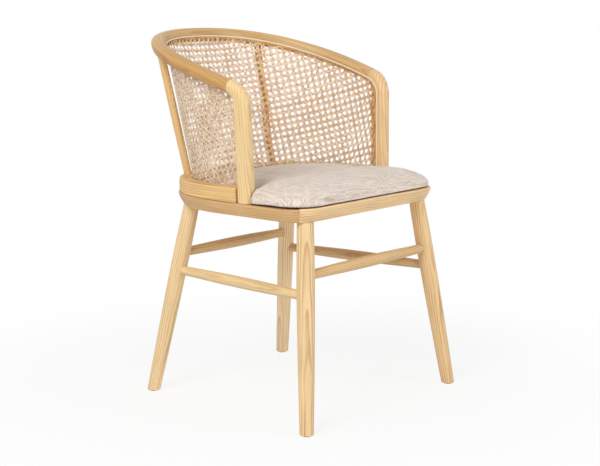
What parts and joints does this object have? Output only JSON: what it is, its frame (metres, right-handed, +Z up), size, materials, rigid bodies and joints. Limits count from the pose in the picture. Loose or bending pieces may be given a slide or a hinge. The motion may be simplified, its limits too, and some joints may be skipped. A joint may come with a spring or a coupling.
{
  "type": "tub armchair",
  "caption": "Low-backed wooden armchair with a bent tub frame, woven cane back, turned leaning legs, stretchers and a padded fabric seat.",
  "frame": {"origin": "on the floor, under the middle of the chair's outline seen from above", "axes": "+Z up, the chair faces -Y, and +X is the sitter's left"},
  "size_m": [0.5146, 0.5566, 0.7721],
  "materials": {
    "ash_tub": "clear matt lacquer on ash",
    "ash_ring": "clear matt lacquer on ash",
    "ash_base": "clear matt lacquer on ash",
    "ash_dowels": "raw wood",
    "cane": "natural split cane, satin",
    "reed": "natural reed, satin",
    "cover": "linen weave over foam",
    "plywood": "raw plywood",
    "screws": "zinc plated",
    "glides": "matt nylon"
  },
  "bodies": {
    "root": {"arm_dowel_left_inner": "ash_dowels", "arm_dowel_left_outer": "ash_dowels", "arm_dowel_right_inner": "ash_dowels", "arm_dowel_right_outer": "ash_dowels", "arm_post_left": "ash_tub", "arm_post_right": "ash_tub", "back_sill": "ash_tub", "cane_webbing": "cane", "corner_block_front_left": "ash_ring", "corner_block_front_right": "ash_ring", "corner_block_rear_left": "ash_ring", "corner_block_rear_right": "ash_ring", "crest_rail": "ash_tub", "dowel_post_left": "ash_dowels", "dowel_post_right": "ash_dowels", "dowel_sill_left": "ash_dowels", "dowel_sill_rear": "ash_dowels", "dowel_sill_rear_left": "ash_dowels", "dowel_sill_rear_right": "ash_dowels", "dowel_sill_right": "ash_dowels", "frame_reed": "reed", "glide_front_left": "glides", "glide_front_right": "glides", "glide_rear_left": "glides", "glide_rear_right": "glides", "leg_front_left": "ash_base", "leg_front_right": "ash_base", "leg_rear_left": "ash_base", "leg_rear_right": "ash_base", "ring_tongue_left": "ash_ring", "ring_tongue_right": "ash_ring", "seat_board": "plywood", "seat_cushion": "cover", "seat_rail_bent": "ash_ring", "seat_rail_front": "ash_ring", "seat_screw_front_left": "screws", "seat_screw_front_right": "screws", "seat_screw_rear_left": "screws", "seat_screw_rear_right": "screws", "sill_reed": "reed", "stretcher_front": "ash_base", "stretcher_left": "ash_base", "stretcher_rear": "ash_base", "stretcher_right": "ash_base", "upright_left": "ash_tub", "upright_right": "ash_tub"}
  },
  "joints": []
}
